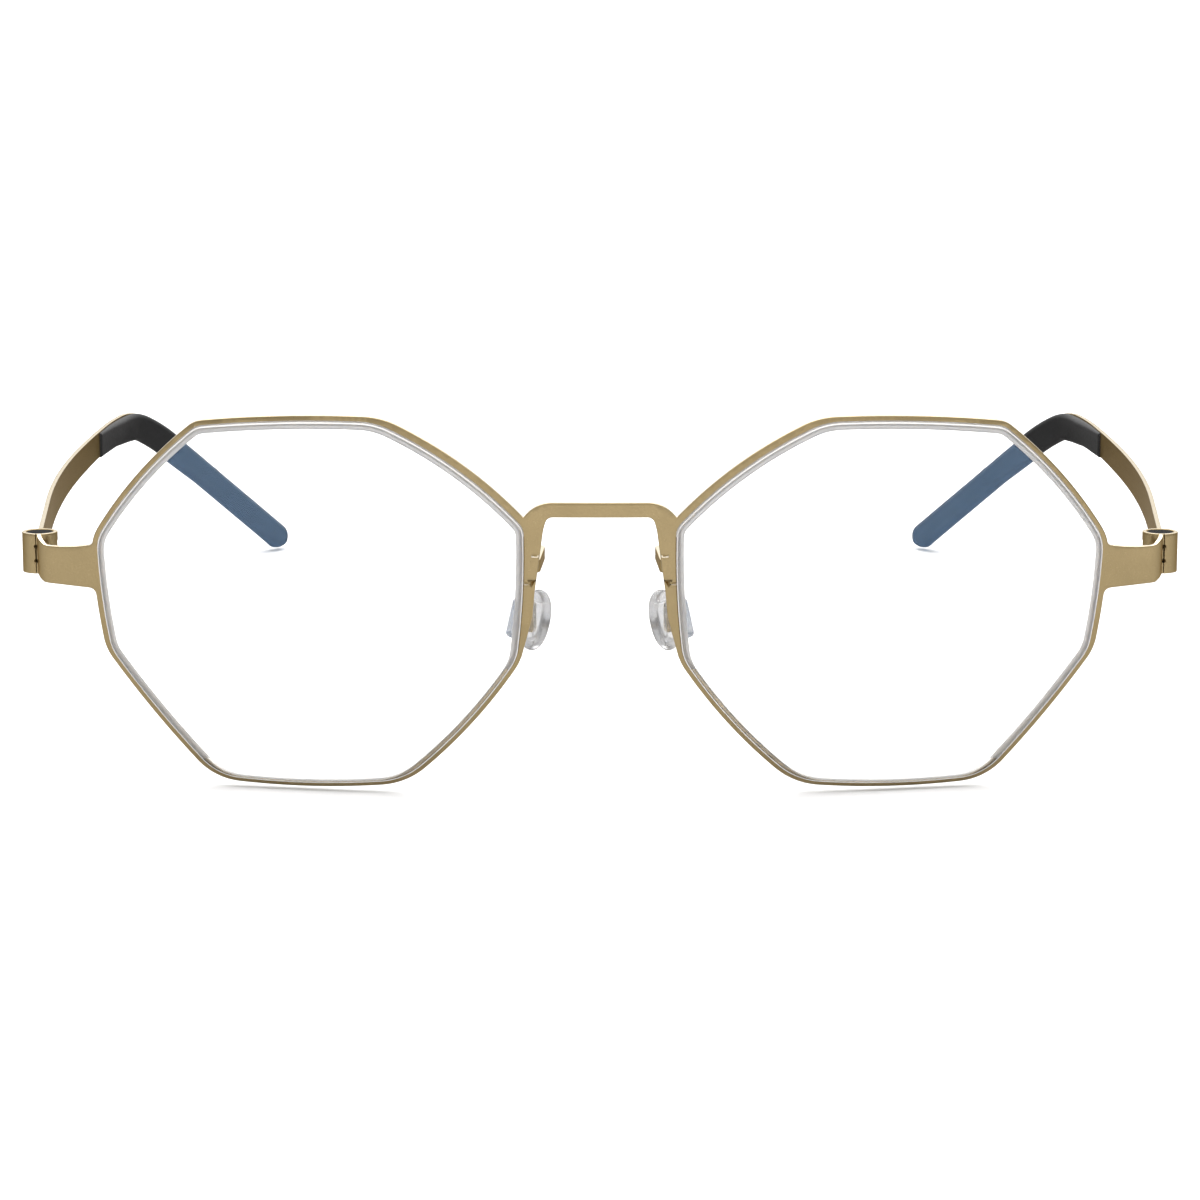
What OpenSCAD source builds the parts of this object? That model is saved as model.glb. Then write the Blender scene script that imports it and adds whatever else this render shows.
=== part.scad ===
// Geometric eyeglasses cut and rolled from titanium sheet, standing open on a table.
// The model is drawn as it is worn (X across the face, Y back along the temples, Z up from the
// middle of the hinges, Y = 0 at the front of the bridge) and the last module stands it on the table.

/* [Lens] */
// Width of one lens
lens_w = 52.1; // [49:0.1:56]
// Height of one lens
lens_h = 46.4; // [42:0.1:49]
// Thickness of a lens at its edge
lens_t = 1.8; // [1.5:0.1:2.4]
// Length of the top side, from the lens centre towards the nose
top_in = 8; // [6:0.5:10]
// Length of the top side, from the lens centre towards the temple
top_out = 13.8; // [12:0.1:15.5]
// Height of the nose corner over the lens centre
nose_rise = 10.5; // [9:0.1:11.5]
// Depth of the lower nose corner under the lens centre
nose_fall = 5.9; // [4.5:0.1:7]
// Height of the temple corner over the lens centre
temple_rise = 7.2; // [6:0.1:8.5]
// Depth of the lower temple corner under the lens centre
temple_fall = 6.8; // [5.5:0.1:8]
// Length of the bottom side, from the lens centre towards the nose
low_in = 11; // [9.5:0.5:12.5]
// Length of the bottom side, from the lens centre towards the temple
low_out = 12.4; // [11:0.1:14]

/* [Front] */
// Gap between the two lenses at the bridge
bridge_gap = 18.4; // [16.5:0.1:21]
// Thickness of the titanium sheet
sheet_t = 0.6; // [0.5:0.05:0.8]
// Radius to which the front and the lenses are curved
front_r = 260; // [220:5:320]
// Tilt of the front against the temples, in degrees
front_tilt = 6; // [3:0.5:9]
// Drop of the lens centres under the middle of the hinges
lens_drop = 5.4; // [4.5:0.1:6.5]
// Height of the bridge bar
bridge_h = 1.85; // [1.5:0.05:2.3]
// Height of the bridge's top edge over the middle of the hinges
bridge_z = 8.3; // [7.8:0.1:8.8]
// Radius of the bridge's outer corners
bridge_corner_r = 4.2; // [2:0.2:4.6]
// Width of rim that shows beside the lens at the top
rim_top = 0.6; // [0.45:0.05:0.9]
// Width of rim that shows at the upper nose side
rim_brow = 0.85; // [0.6:0.05:1.1]
// Width of rim that shows beside the lens at the temple
rim_temple = 0.7; // [0.5:0.05:0.9]
// Width of rim that shows on the other sides
rim_side = 0.54; // [0.4:0.02:0.7]
// Depth of the groove in the lens edge that takes the rim
groove_d = 0.6; // [0.5:0.05:0.7]
// Room left in the groove, from the rim's inner edge to the groove's floor
groove_space = 0.4; // [0.1:0.05:0.6]

/* [Hinge] */
// Distance of each hinge axis from the middle of the face
hinge_x = 69.7; // [68.7:0.1:71]
// Outer radius of the rolled hinge barrel
barrel_r = 2.2; // [2:0.05:2.4]
// Height of the hinge barrel
barrel_h = 5; // [4.8:0.1:5.6]
// Radius of the bend from the lug back to the barrel
curl_r = 2; // [1.8:0.1:2.3]
// Height of the lug beside the barrel
lug_h = 4.8; // [4.2:0.1:5.2]
// Height of the neck that joins the temple to its knuckle
neck_h = 2.4; // [2:0.1:2.6]
// Radius of the hinge pin
pin_r = 1; // [0.8:0.05:1.1]
// Thickness of each head of the hinge pin
pin_head = 0.5; // [0.4:0.05:0.6]

/* [Temple] */
// Length of a temple from its hinge axis to its tip, measured along it
temple_len = 145; // [138:1:152]
// Thickness of the temple strip
temple_t = 0.6; // [0.5:0.05:0.8]
// Height of the temple strip at the hinge
temple_h = 4.8; // [4.4:0.1:5]
// Height of the temple strip where the sleeve starts
temple_h_back = 3.75; // [3.4:0.05:4.2]
// Outward lean of the temple at the hinge, in degrees
temple_lean = 5.8; // [3:0.1:7]
// Downward bend of the temple behind the ear, in degrees
ear_bend = 39.3; // [32:0.1:46]
// Length of the part behind the ear bend
tip_len = 28; // [25:0.5:32]

/* [Sleeve and nose pads] */
// Length of the silicone sleeve, measured along the temple
sleeve_len = 57; // [52:0.5:60]
// Thickness of silicone on the inner face of the temple
sleeve_in = 1.1; // [0.9:0.05:1.4]
// Thickness of silicone on the outer face behind the ear
sleeve_out = 0.7; // [0.5:0.05:0.9]
// Height of the sleeve at its tip
tip_h = 3.8; // [3.6:0.05:4.4]
// Height of a nose pad
pad_h = 7.7; // [7.2:0.1:9]
// Width of a nose pad
pad_w = 5.1; // [5:0.1:6.2]
// Thickness of a nose pad
pad_t = 1.9; // [1.6:0.1:2.2]
// Reach of the pad arm behind the front
arm_reach = 6.1; // [5.2:0.1:6.6]
// Height of the strip that makes the pad arm
arm_h = 1.6; // [1.4:0.1:2]

/* [Hidden] */
$fn = 48;

titanium = [0.69, 0.60, 0.43];
silicone_black = [0.09, 0.09, 0.09];
silicone_clear = [0.86, 0.88, 0.88, 0.6];
lens_clear = [0.88, 0.93, 0.97, 0.35];
steel = [0.72, 0.73, 0.74];

fit_gap = 0.02;        // between pieces that are pressed or gripped together
run_gap = 0.05;        // between pieces that turn in each other
window_gap = 0.15;     // above and below the neck in the barrel's window
fold_max = 84;         // furthest that a temple folds in, with room in the window
dome_fn = 400;         // segments of the large spheres

// Outline of a lens: eight sides that bulge a little, and eight rounded corners,
// listed clockwise from the upper nose corner of the lens on the +X side.
half_w = lens_w / 2;
half_h = lens_h / 2;
lens_corners = [
    [-half_w, nose_rise],
    [-top_in, half_h],
    [top_out, half_h - 1.2],
    [half_w + 0.6, temple_rise],
    [half_w - 0.8, -temple_fall],
    [low_out, -half_h + 0.5],
    [-low_in, -half_h + 1],
    [-half_w + 0.85, -nose_fall]];
side_r = [50, 138, 55, 87, 147, 110, 70, 100];
corner_r = [2.5, 9, 3, 5, 5.5, 7, 9, 2.5];
rim_w = [rim_brow, rim_top, rim_side, rim_temple, rim_temple - 0.06, rim_side, rim_side, rim_side];
lens_x = bridge_gap / 2 + half_w;
corner_steps = 7;
side_steps = 6;

// Centre of the arc of radius r from p to q, on the right of the way from p to q
function arc_centre(p, q, r) =
    let (d = q - p, l = norm(d))
    (p + q) / 2 + [d.y, -d.x] / l * sqrt(r * r - l * l / 4);

// Point nearest to near that lies ra from a and rb from b
function meet(a, ra, b, rb, near) =
    let (d = b - a, l = norm(d), e = d / l,
        along = (l * l + ra * ra - rb * rb) / (2 * l),
        up = sqrt(max(0, ra * ra - along * along)),
        one = a + e * along + [-e.y, e.x] * up,
        two = a + e * along - [-e.y, e.x] * up)
    norm(one - near) < norm(two - near) ? one : two;

function heading(from, to) = atan2(to.y - from.y, to.x - from.x);
function turn(from, to) = (to - from + 540) % 360 - 180;
function on_arc(c, r, a) = c + r * [cos(a), sin(a)];

// The lens outline, with each side moved out by its own shift
function outline(shift) =
    let (n = len(lens_corners),
        centre = [for (i = [0:n-1]) arc_centre(lens_corners[i], lens_corners[(i + 1) % n], side_r[i])],
        reach = [for (i = [0:n-1]) side_r[i] + shift[i]],
        fillet = [for (i = [0:n-1]) corner_r[i] + (shift[i] + shift[(i + n - 1) % n]) / 2],
        knot = [for (i = [0:n-1]) let (h = (i + n - 1) % n)
            meet(centre[h], reach[h] - fillet[i], centre[i], reach[i] - fillet[i], lens_corners[i])])
    [for (i = [0:n-1]) let (
            h = (i + n - 1) % n, j = (i + 1) % n,
            a0 = heading(centre[h], knot[i]),
            a1 = heading(centre[i], knot[i]),
            a2 = heading(centre[i], knot[j]))
        each concat(
            [for (k = [0:corner_steps]) on_arc(knot[i], fillet[i], a0 + turn(a0, a1) * k / corner_steps)],
            [for (k = [1:side_steps-1]) on_arc(centre[i], reach[i], a1 + turn(a1, a2) * k / side_steps)])];

// A closed outline with each corner rounded to its own radius, 0 for a sharp one
function soft(p, r) =
    let (n = len(p))
    [for (i = [0:n-1]) let (
            b = p[i],
            u = (p[(i + n - 1) % n] - b) / norm(p[(i + n - 1) % n] - b),
            v = (p[(i + 1) % n] - b) / norm(p[(i + 1) % n] - b),
            half = acos(u * v) / 2,
            mid = b + (u + v) / max(norm(u + v), 0.001) * r[i] / sin(half),
            a0 = heading(mid, b + u * r[i] / tan(half)),
            a1 = heading(mid, b + v * r[i] / tan(half)))
        each r[i] == 0 ? [b] : [for (k = [0:6]) on_arc(mid, r[i], a0 + turn(a0, a1) * k / 6)]];

no_shift = [for (r = side_r) 0];
rim_hole = [for (r = side_r) -groove_d];
groove_floor = [for (r = side_r) -groove_d - groove_space];

// Depth of the curved front behind the bridge, x from the middle and z over the hinges' middle
function dome_depth(x, z) = front_r - sqrt(front_r * front_r - x * x - pow(z + lens_drop, 2));

// The lug bends back into the barrel: centre of the bend and of the barrel, in the front's own frame
curl_x = hinge_x - curl_r + run_gap / 2;
curl_lean = asin((hinge_x - curl_r) / front_r);
curl_start = curl_x + curl_r * sin(curl_lean);
lug_z = -2;
curl_y = dome_depth(curl_start, lug_z) + curl_r * cos(curl_lean);
barrel_bite = 0.1;
hinge_y = curl_y * cos(front_tilt) - lug_z * sin(front_tilt) + barrel_r - barrel_bite;
bore_r = barrel_r - sheet_t + 0.05;
knuckle_r = bore_r - run_gap;
knuckle_h = barrel_h - 2 * (pin_head + 2 * run_gap);

// A temple as steps: length, yaw turn and pitch turn of each step
bend_out = 45;
bend_in = 25;
ear_yaw = 41.4;
ear_runs = [9.8, 3.6, 3.5, 4.8];
ear_len = ear_runs[0] + ear_runs[1] + ear_runs[2] + ear_runs[3];
straight_len = temple_len - tip_len - bend_out - bend_in - ear_len;
temple_runs = [
    [straight_len, 0, 0, 5],
    [bend_out, -6.4, 0, 14],
    [bend_in, -2, 0, 8],
    [ear_runs[0], -5.5, 0, 5],
    [ear_runs[1], -0.3 * ear_yaw, 0, 4],
    [ear_runs[2], -0.7 * ear_yaw, -0.725 * ear_bend, 6],
    [ear_runs[3], 0, -0.275 * ear_bend, 5],
    [tip_len - 2, 0, 0, 8],
    [2, 0, 0, 4]];
temple_steps = [for (r = temple_runs) for (k = [1:r[3]]) [r[0], r[1], r[2]] / r[3]];

// Stations along the temple: [point, yaw, pitch, length so far]
function walk(i, p, yaw, pitch, s) =
    i > len(temple_steps) ? [] :
    i == len(temple_steps) ? [[p, yaw, pitch, s]] :
    let (d = temple_steps[i], y = yaw + d[1] / 2, q = pitch + d[2] / 2,
        step = d[0] * [sin(y) * cos(q), cos(y) * cos(q), sin(q)])
    concat([[p, yaw, pitch, s]], walk(i + 1, p + step, yaw + d[1], pitch + d[2], s + d[0]));
stations = walk(0, [hinge_x, hinge_y, 0], temple_lean, 0, 0);

function out_of(st) = [cos(st[1]), -sin(st[1]), 0];
function up_of(st) = [-sin(st[1]) * sin(st[2]), -cos(st[1]) * sin(st[2]), cos(st[2])];
function mix(a, b, f) = a + (b - a) * min(1, max(0, f));

strip_top = temple_h / 2;
plate_end = barrel_r + 5.3;
sleeve_from = temple_len - sleeve_len;
tang_end = temple_len - 5;
tang_h = 2.2;
// Silicone grows from a pad on the inner face to a closed sleeve round the strip
function wrap(s) = min(1, max(0, (s - sleeve_from - 20) / 14));
// Top and bottom edges of the strip, over the line through the hinge's middle
function strip_up(s) = strip_top - (temple_h_back - tang_h) / 2 * wrap(s + 1);
function strip_down(s) = strip_top - mix(temple_h, temple_h_back, s / sleeve_from)
    + (temple_h_back - tang_h) / 2 * wrap(s + 1);
// Top and bottom edges of the sleeve
function sleeve_up(s) = strip_top + mix(-0.2, (tip_h - temple_h_back) / 2, wrap(s));
function sleeve_down(s) = strip_top - temple_h_back - mix(0.1, (tip_h - temple_h_back) / 2, wrap(s))
    - 0.45 * sin(180 * min(1, max(0, (s - sleeve_from - 11) / 26)));
function end_round(s) = let (d = temple_len - s, r = tip_h / 2)
    d >= r ? 1 : sqrt(max(0.0004, 1 - pow(1 - d / r, 2)));

// Standing on the table: the lowest points of the rims and of the tips
rim_low_z = -lens_drop - half_h - rim_side + 0.1;
rim_low_depth = dome_depth(lens_x, rim_low_z) + sheet_t;
rim_low = [rim_low_depth * cos(front_tilt) - rim_low_z * sin(front_tilt),
    rim_low_depth * sin(front_tilt) + rim_low_z * cos(front_tilt)];
tip_station = stations[len(stations) - 1];
tip_mid_z = strip_top - temple_h_back / 2;
tip_centre = tip_station[0] + up_of(tip_station) * tip_mid_z
    - tip_h / 2 * [sin(tip_station[1]) * cos(tip_station[2]), cos(tip_station[1]) * cos(tip_station[2]), sin(tip_station[2])];
tip_low = [tip_centre.y, tip_centre.z - tip_h / 2];
stand_tilt = atan2(tip_low[1] - rim_low[1], tip_low[0] - rim_low[0]);
stand_lift = rim_low[0] * sin(stand_tilt) - rim_low[1] * cos(stand_tilt);
stand_back = -0.5 * (tip_low[0] * cos(stand_tilt) + tip_low[1] * sin(stand_tilt)) - 0.6;

module stand() {
    translate([0, stand_back, stand_lift]) rotate([-stand_tilt, 0, 0]) children();
}

// The front's own frame: tilted about the line through the hinges' middle
module tilted() {
    rotate([front_tilt, 0, 0]) children();
}

dome_span = lens_w / 2;
module side(s) {
    if (s > 0) children();
    else mirror([1, 0, 0]) children();
}

// A 2-D shape drawn in X and Z, cut from a curved layer between two depths behind the front
module domed(near, far) {
    intersection() {
        rotate([90, 0, 0]) translate([0, 0, -dome_span]) linear_extrude(2 * dome_span) children();
        translate([0, front_r, -lens_drop]) difference() {
            sphere(r = front_r - near, $fn = dome_fn);
            sphere(r = front_r - far, $fn = dome_fn);
        }
    }
}

module lens_outline(shift) {
    translate([lens_x, -lens_drop]) polygon(outline(shift));
}

// Bridge bar, nose strip and lug of one side, joined to its rim
nose_x = bridge_gap / 2 - 2.1;
lug_root = lens_x + half_w;
lug_top = 0.45;
bridge_low = bridge_z - bridge_h;
module half_front() {
    polygon(soft(
        [[-0.5, bridge_z], [nose_x + 0.5, bridge_z], [nose_x + 2.25, bridge_z - 1.95],
            [lens_x - half_w + 1.5, bridge_z - 3], [lens_x - half_w + 1.5, -11.6],
            [nose_x + 2.5, -11.3], [nose_x + 1.1, -6], [nose_x + 0.85, -3], [nose_x - 0.25, 5],
            [nose_x - 0.7, bridge_low], [-0.5, bridge_low]],
        [0, bridge_corner_r, 0, 0, 0, 0, 6, 6, 8, 0.9, 0]));
    polygon(soft(
        [[lug_root - 1, 1.9], [lug_root + 0.85, 1.4], [lug_root + 1.45, lug_top + 0.45],
            [lug_root + 3.35, lug_top + 0.15], [lug_root + 5.15, lug_top], [curl_start, lug_top],
            [curl_start, lug_top - lug_h], [lug_root + 1, lug_top - lug_h - 0.25],
            [lug_root + 0.6, lug_top - lug_h - 3], [lug_root - 1, lug_top - lug_h - 3]],
        [0, 0, 0, 0, 0, 0, 0, 0.9, 0, 0]));
}

// Slit beside the pad arm, and the joint where the rim was closed round the lens
joint_z = -2;
module front_cuts() {
    translate([nose_x + 0.35, 1.5]) square([0.85, 0.22]);
    translate([nose_x + 1.55, joint_z]) square([2, 0.14]);
    polygon([[nose_x + 0.75, joint_z + 0.62], [nose_x + 1.65, joint_z + 0.62], [nose_x + 1.25, joint_z - 0.2]]);
}

module sheet_outline() {
    difference() {
        union() {
            half_front();
            lens_outline(rim_w);
        }
        lens_outline(rim_hole);
        front_cuts();
    }
}

// The lug's end: a quarter bend that turns the sheet back into the barrel
module lug_curl() {
    barrel_low = -barrel_h / 2 - curl_y * sin(front_tilt);
    intersection() {
        union() {
            translate([curl_x, curl_y, lug_top - lug_h - 1])
                rotate([0, 0, -90 + curl_lean - 1]) rotate_extrude(angle = 91 - curl_lean, $fn = 96)
                    translate([curl_r - sheet_t, 0]) square([sheet_t, lug_h + 3]);
            translate([curl_x + curl_r - sheet_t, curl_y - 0.01, lug_top - lug_h - 1])
                cube([sheet_t, barrel_bite + 0.3, lug_h + 3]);
        }
        rotate([90, 0, 0]) translate([0, 0, -dome_span]) linear_extrude(2 * dome_span)
            polygon([[curl_start - 0.5, lug_top], [curl_start + 0.1, lug_top + 0.02],
                [curl_start + 0.5, lug_top + 0.15], [curl_start + 0.9, lug_top + 0.45],
                [hinge_x + 0.1, barrel_low + barrel_h], [hinge_x + 1, barrel_low + barrel_h],
                [hinge_x + 1, barrel_low], [hinge_x, barrel_low], [curl_start + 0.8, barrel_low - 0.25],
                [curl_start + 0.4, lug_top - lug_h + 0.1], [curl_start, lug_top - lug_h],
                [curl_start - 0.5, lug_top - lug_h]]);
    }
}

// Arm cut with the front, bent back behind it and then outwards, with a leg down to the pad
arm_x = nose_x + 0.1;
arm_z = 0.3;
arm_bend_r = 0.9;
arm_y = dome_depth(arm_x + arm_bend_r, arm_z) + 0.01;
arm_drift = 5;
pad_splay = 40;
pad_drop = 9.9;
leg_run = 3.5;
leg_mid = leg_run - arm_h / 2;

// A bend of the arm, from its start at the origin with the sheet's inner face on the bend's side
module arm_bend(angle) {
    translate([arm_bend_r, 0, -arm_h / 2]) rotate([0, 0, 180 - angle])
        rotate_extrude(angle = angle, $fn = 64) translate([arm_bend_r - sheet_t, 0]) square([sheet_t, arm_h]);
}

module after_bend(angle) {
    translate([arm_bend_r, 0, 0]) rotate([0, 0, -angle]) translate([-arm_bend_r, 0, 0]) children();
}

// Where the arm's run back begins, and where its leg lies: first axis back, second one up
module arm_place() {
    translate([arm_x, arm_y + arm_bend_r, arm_z]) rotate([0, 0, arm_drift]) children();
}

module leg_place() {
    arm_place() translate([0, arm_reach - arm_bend_r, 0]) after_bend(pad_splay + arm_drift)
        rotate([90, 0, 90]) children();
}

module leg_outline(grow) {
    translate([-0.01, -arm_h / 2 - grow]) square([leg_mid, arm_h + 2 * grow]);
    translate([leg_mid - arm_h / 2 - grow, -pad_drop]) square([arm_h + 2 * grow, pad_drop]);
    for (z = [0, -pad_drop]) translate([leg_mid, z]) circle(d = arm_h + 2 * grow);
}

module pad_arm() {
    run = arm_reach - arm_bend_r;
    translate([arm_x + arm_bend_r, arm_y + arm_bend_r, arm_z - arm_h / 2]) rotate([0, 0, 180])
        rotate_extrude(angle = 90, $fn = 64) translate([arm_bend_r - sheet_t, 0]) square([sheet_t, arm_h]);
    arm_place() {
        translate([0, -0.05, -arm_h / 2]) cube([sheet_t, run + 0.06, arm_h]);
        translate([0, run, 0]) arm_bend(pad_splay + arm_drift);
    }
    leg_place() linear_extrude(sheet_t) leg_outline(0);
}

seam_turn = 7;
module barrel_solid() {
    translate([hinge_x, hinge_y, -barrel_h / 2]) cylinder(r = barrel_r, h = barrel_h);
}

// Everything that is cut from the barrel: its bore, the window for the neck, and the locking slot
module barrel_cuts() {
    translate([hinge_x, hinge_y, -barrel_h]) cylinder(r = bore_r, h = 2 * barrel_h);
    window_h = neck_h + 2 * window_gap;
    window_from = 90 - temple_lean - 15;
    translate([hinge_x, hinge_y, -window_h / 2])
        rotate([0, 0, window_from]) rotate_extrude(angle = fold_max + 30)
            translate([bore_r - 0.3, 0]) square([barrel_r - bore_r + 1, window_h]);
    translate([hinge_x, hinge_y, 0]) rotate([0, 0, -90 + seam_turn]) {
        for (z = [-0.9, 0.9]) translate([bore_r - 0.3, 0, z]) rotate([0, 90, 0]) cylinder(r = 0.27, h = 2, $fn = 24);
        rotate([0, 0, -2.5]) translate([bore_r - 0.3, -0.07, -0.9]) cube([2, 0.14, 1.8]);
    }
}

module front_side() {
    difference() {
        union() {
            tilted() {
                domed(0, sheet_t) sheet_outline();
                lug_curl();
                pad_arm();
            }
            barrel_solid();
        }
        barrel_cuts();
    }
}

module front_frame() {
    color(titanium) stand() {
        side(1) front_side();
        side(-1) front_side();
    }
}

// A lens with the groove that the rim sits in
lens_lip = (lens_t - sheet_t) / 2;
module lens() {
    color(lens_clear) stand() tilted() difference() {
        domed(-lens_lip, lens_t - lens_lip) lens_outline(no_shift);
        domed(-fit_gap, sheet_t + fit_gap) difference() {
            lens_outline(rim_w);
            lens_outline(groove_floor);
        }
    }
}

// A body stretched through rings of points, all with the same count
module skin(rings) {
    n = len(rings[0]);
    m = len(rings);
    polyhedron(
        points = [for (r = rings) each r],
        faces = concat(
            [[for (j = [0:n-1]) j]],
            [for (i = [0:m-2]) for (j = [0:n-1]) let (k = (j + 1) % n) each [
                [i * n + j, (i + 1) * n + j, (i + 1) * n + k], [i * n + j, (i + 1) * n + k, i * n + k]]],
            [[for (j = [0:n-1]) m * n - 1 - j]]));
}

function strip_ring(st, grow) =
    let (o = out_of(st) * (temple_t / 2 + grow), u = up_of(st),
        hi = st[0] + u * (strip_up(st[3]) + grow), lo = st[0] + u * (strip_down(st[3]) - grow))
    [hi + o, lo + o, lo - o, hi - o];

module strip(grow) {
    first = plate_end - 1;
    start = [stations[0][0] + first * [sin(temple_lean), cos(temple_lean), 0], temple_lean, 0, first];
    used = [for (st = stations) if (st[3] > first + 0.5 && st[3] < tang_end) st];
    skin([for (st = concat([start], used)) strip_ring(st, grow)]);
}

// The neck runs from the knuckle through the barrel's window to the strip
module knuckle() {
    neck_from = knuckle_r - 0.3;
    difference() {
        union() {
            translate([hinge_x, hinge_y, -knuckle_h / 2]) cylinder(r = knuckle_r, h = knuckle_h);
            translate([hinge_x, hinge_y, 0]) rotate([0, 0, -temple_lean]) {
                translate([-temple_t / 2, neck_from, -neck_h / 2]) cube([temple_t, barrel_r + 0.6 - neck_from, neck_h]);
                translate([-temple_t / 2, barrel_r + 0.3, -strip_top])
                    cube([temple_t, plate_end - barrel_r - 0.3, temple_h]);
            }
        }
        translate([hinge_x, hinge_y, -barrel_h]) cylinder(r = pin_r + fit_gap, h = 2 * barrel_h);
    }
}

module temple() {
    color(titanium) stand() {
        knuckle();
        strip(0);
    }
}

// Rounded section of the sleeve, drawn round the strip
function sleeve_ring(st) =
    let (s = st[3], w = wrap(s), e = end_round(s),
        top = sleeve_up(s),
        low = sleeve_down(s),
        outer = temple_t / 2 + mix(-0.1, sleeve_out, w),
        inner = temple_t / 2 + mix(0.35, sleeve_in, (s - sleeve_from) / 14),
        mid = [(outer - inner) / 2, (top + low) / 2], half = [(outer + inner) / 2 * mix(0.55, 1, e), (top - low) / 2 * e],
        soft = 0.9 * min(half.x, half.y), o = out_of(st), u = up_of(st))
    [for (q = [0:3]) for (k = [0:4]) let (
            a = -90 * q + 90 - 22.5 * k,
            sx = (q == 0 || q == 1) ? 1 : -1, sy = (q == 0 || q == 3) ? 1 : -1,
            x = mid.x + sx * (half.x - soft) + soft * cos(a), y = mid.y + sy * (half.y - soft) + soft * sin(a))
        st[0] + o * x + u * y];

module sleeve() {
    color(silicone_black) stand() difference() {
        skin([for (st = stations) if (st[3] >= sleeve_from) sleeve_ring(st)]);
        strip(fit_gap);
    }
}

// A pad is a soft oval plate with a socket behind it that grips the leg of the arm
pad_lean = 16;
module nose_pad() {
    socket_h = 3.8;
    color(silicone_clear) stand() tilted() difference() {
        leg_place() translate([leg_mid, 0.6 - pad_drop, 0]) rotate([-pad_lean, 0, 0]) {
            hull() for (z = [-1, 1]) translate([0, z * (pad_h - pad_w) / 2, -0.85])
                scale([1, 1, 2 * 0.6 * pad_t / pad_w]) sphere(d = pad_w, $fn = 28);
            hull() for (z = [-1, 1]) for (x = [-1, 1])
                translate([x * 1.5, z * socket_h / 2, -0.8]) cylinder(r = 0.6, h = 2.6, $fn = 20);
        }
        leg_place() translate([0, 0, -fit_gap])
            linear_extrude(sheet_t + 2 * fit_gap) leg_outline(fit_gap);
    }
}

// A pin with a head at each end, which holds the knuckle in the barrel
module hinge_pin() {
    head_r = bore_r - run_gap;
    color(steel) stand() translate([hinge_x, hinge_y, 0]) {
        cylinder(r = pin_r, h = knuckle_h + 2 * run_gap + 0.02, center = true);
        for (z = [-1, 1]) translate([0, 0, z * (barrel_h - pin_head) / 2 - z * run_gap])
            cylinder(r = head_r, h = pin_head, center = true);
    }
}

front_frame();
side(1) lens();  // left_lens
side(-1) lens();  // right_lens
side(1) nose_pad();  // left_nose_pad
side(-1) nose_pad();  // right_nose_pad
side(1) temple();  // left_temple
side(-1) temple();  // right_temple
side(1) sleeve();  // left_sleeve
side(-1) sleeve();  // right_sleeve
side(1) hinge_pin();  // left_hinge_pin
side(-1) hinge_pin();  // right_hinge_pin
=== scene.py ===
# %% [markdown]
# # Geometric eyeglasses
# A pair of octagonal eyeglasses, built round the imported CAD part.  Every measure below is in
# millimetres in the *wearing frame*: X across the face, Y back along the temples, Z up from the
# middle of the hinges.  `row` stands the result on the table, in the metres of the CAD part.

# %% Load the fixed frame
import math

import bmesh
import bpy
import numpy as np
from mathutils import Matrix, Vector
from mathutils.geometry import delaunay_2d_cdt


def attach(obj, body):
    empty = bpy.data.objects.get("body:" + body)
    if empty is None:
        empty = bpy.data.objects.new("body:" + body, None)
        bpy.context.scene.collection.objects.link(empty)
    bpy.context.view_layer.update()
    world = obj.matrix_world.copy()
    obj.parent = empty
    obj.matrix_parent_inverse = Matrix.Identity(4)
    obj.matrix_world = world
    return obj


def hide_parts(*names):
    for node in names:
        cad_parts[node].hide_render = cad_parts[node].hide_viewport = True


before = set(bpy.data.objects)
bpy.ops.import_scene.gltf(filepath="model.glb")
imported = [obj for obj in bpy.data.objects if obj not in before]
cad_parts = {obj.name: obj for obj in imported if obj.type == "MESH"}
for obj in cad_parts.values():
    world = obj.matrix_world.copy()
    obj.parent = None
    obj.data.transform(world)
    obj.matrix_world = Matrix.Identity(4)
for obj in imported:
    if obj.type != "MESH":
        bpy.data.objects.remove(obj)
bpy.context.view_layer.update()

print("nodes:", sorted(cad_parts))

# %% [markdown]
# ## Measures
# The same sizes as in the CAD source, so both models follow one set of numbers.

# %% The measures
SHEET = 0.6                             # titanium sheet
DOME_R, TILT, DROP = 260.0, 6.0, 5.4    # the front's curve and lean, and the lenses' drop
LENS_W, LENS_H, LENS_T = 52.1, 46.4, 1.8
GAP = 18.4                              # between the lenses
HALF_W, HALF_H = LENS_W / 2, LENS_H / 2
LENS_X = GAP / 2 + HALF_W
GROOVE, GROOVE_SPACE = 0.6, 0.4         # the rim's reach into the lens, and the space past it
LOW_GROOVE, LOW_SHEET = 0.5, 0.1        # the groove and the reach along the lowest side
NEXT_GROOVE = 0.7                       # the groove along the side between that and the nose
BRIDGE_Z, BRIDGE_H = 8.3, 1.85
HINGE_X, BARREL_R, BARREL_H, CURL_R, LUG_H = 69.7, 2.2, 5.0, 2.0, 4.8
NECK_H = 2.4                            # the temple's narrow end, in the barrel's window
TEMPLE_LEN, TEMPLE_T, TEMPLE_H, TEMPLE_BACK = 145.0, 0.6, 4.8, 3.75
LEAN, EAR_BEND, EAR_YAW, TIP_LEN = 5.8, 39.3, 41.4, 28.0
SLEEVE_LEN, SLEEVE_IN, SLEEVE_OUT, TIP_H = 57.0, 1.1, 0.7, 3.8
STAND_TILT, STAND_BACK, STAND_LIFT = 2.96675, -70.0952, 28.783
SIDES = ((1, "left"), (-1, "right"))    # the wearer's left is +X


def rad(a):
    return math.radians(a)


def row(p):
    """From the wearing frame in millimetres to the part's frame in metres."""
    c, s = math.cos(rad(STAND_TILT)), math.sin(rad(STAND_TILT))
    x, y, z = p
    return Vector((x, y * c + z * s + STAND_BACK, -y * s + z * c + STAND_LIFT)) / 1000


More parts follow.
